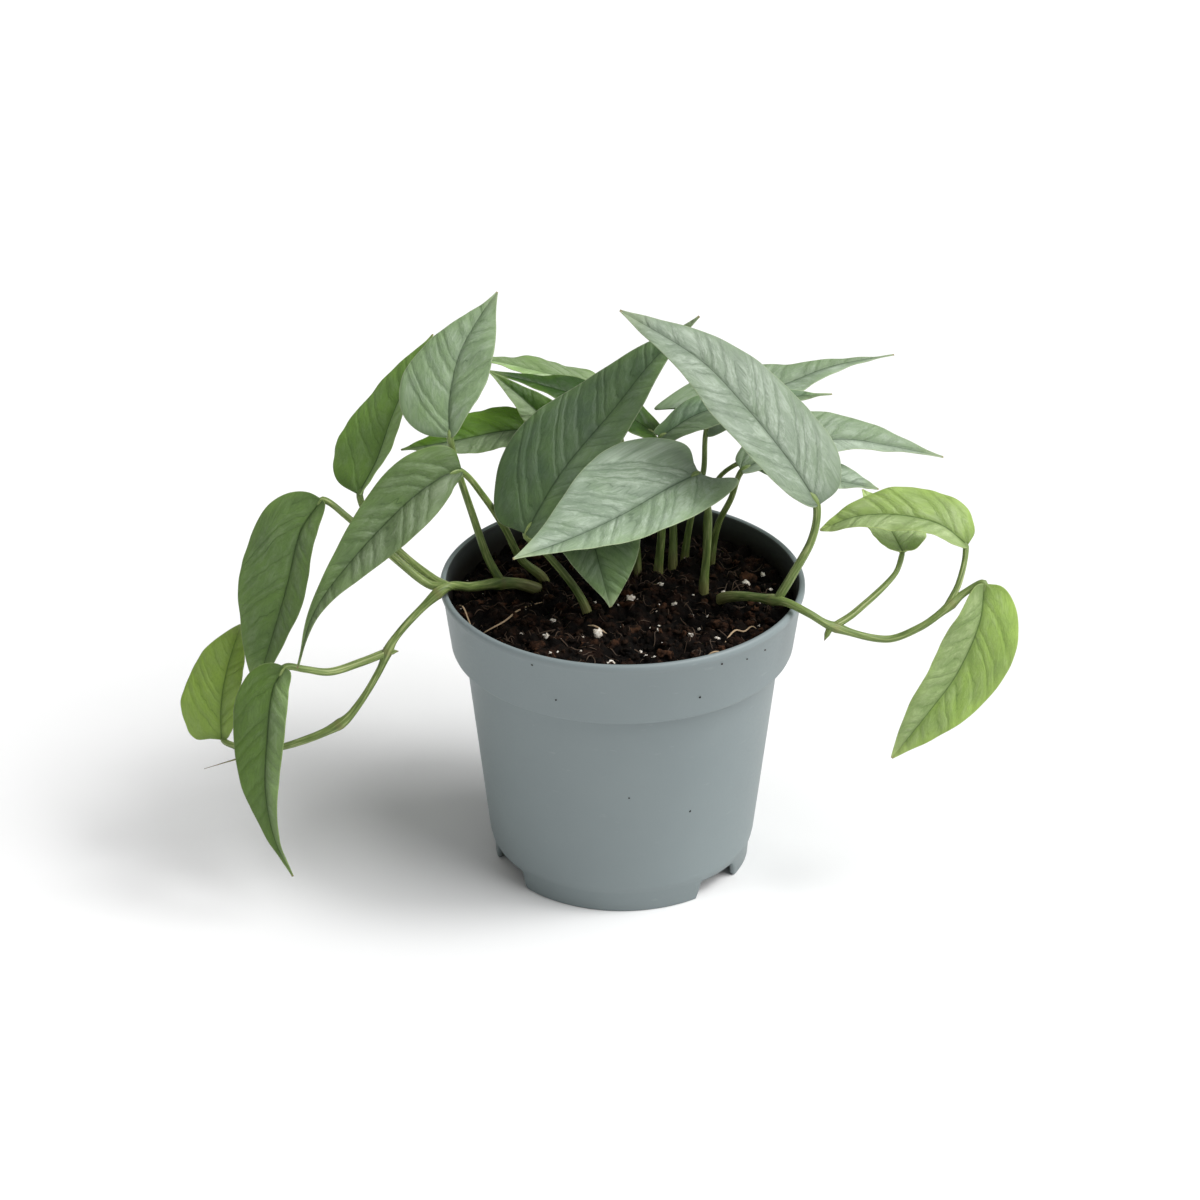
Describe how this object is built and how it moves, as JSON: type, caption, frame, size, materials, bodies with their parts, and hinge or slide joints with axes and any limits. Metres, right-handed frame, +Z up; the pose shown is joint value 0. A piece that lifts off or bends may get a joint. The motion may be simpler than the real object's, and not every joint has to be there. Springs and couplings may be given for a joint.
{
  "type": "potted trailing pothos",
  "caption": "Young trailing pothos with narrow silver-green leaves on stalks and runners, in a round plastic nursery pot filled with soil.",
  "frame": {"origin": "middle of the bounding box's footprint, on the floor that the pot stands on", "axes": "+X to the right along the longest spread of the runners, +Y away from the front, +Z up"},
  "size_m": [0.2749, 0.1308, 0.1921],
  "materials": {
    "pot": "satin blue-grey polypropylene",
    "soil": "dark loose potting mix",
    "stem": "smooth green plant skin",
    "leaf_silver": "silvery blue-green satin",
    "leaf_green": "mid-green satin",
    "leaf_young": "fresh yellow-green satin"
  },
  "bodies": {
    "root": {"pot": "pot", "soil": "soil", "vine_left": "stem", "vine_right": "stem", "stalk_03": "stem", "stalk_07": "stem", "stalk_08": "stem", "stalk_09": "stem", "stalk_10": "stem", "stalk_11": "stem", "stalk_12": "stem", "stalk_14": "stem", "stalk_15": "stem", "stalk_16": "stem", "stalk_20": "stem", "stalk_21": "stem", "leaf_01": "leaf_young", "leaf_02": "leaf_green", "leaf_03": "leaf_green", "leaf_04": "leaf_green", "leaf_05": "leaf_green", "leaf_06": "leaf_silver", "leaf_07": "leaf_green", "leaf_08": "leaf_green", "leaf_09": "leaf_green", "leaf_10": "leaf_silver", "leaf_11": "leaf_silver", "leaf_12": "leaf_silver", "leaf_13": "leaf_silver", "leaf_14": "leaf_silver", "leaf_15": "leaf_silver", "leaf_16": "leaf_silver", "leaf_17": "leaf_young", "leaf_18": "leaf_young", "leaf_19": "leaf_young", "leaf_20": "leaf_silver", "leaf_21": "leaf_green"}
  },
  "joints": []
}
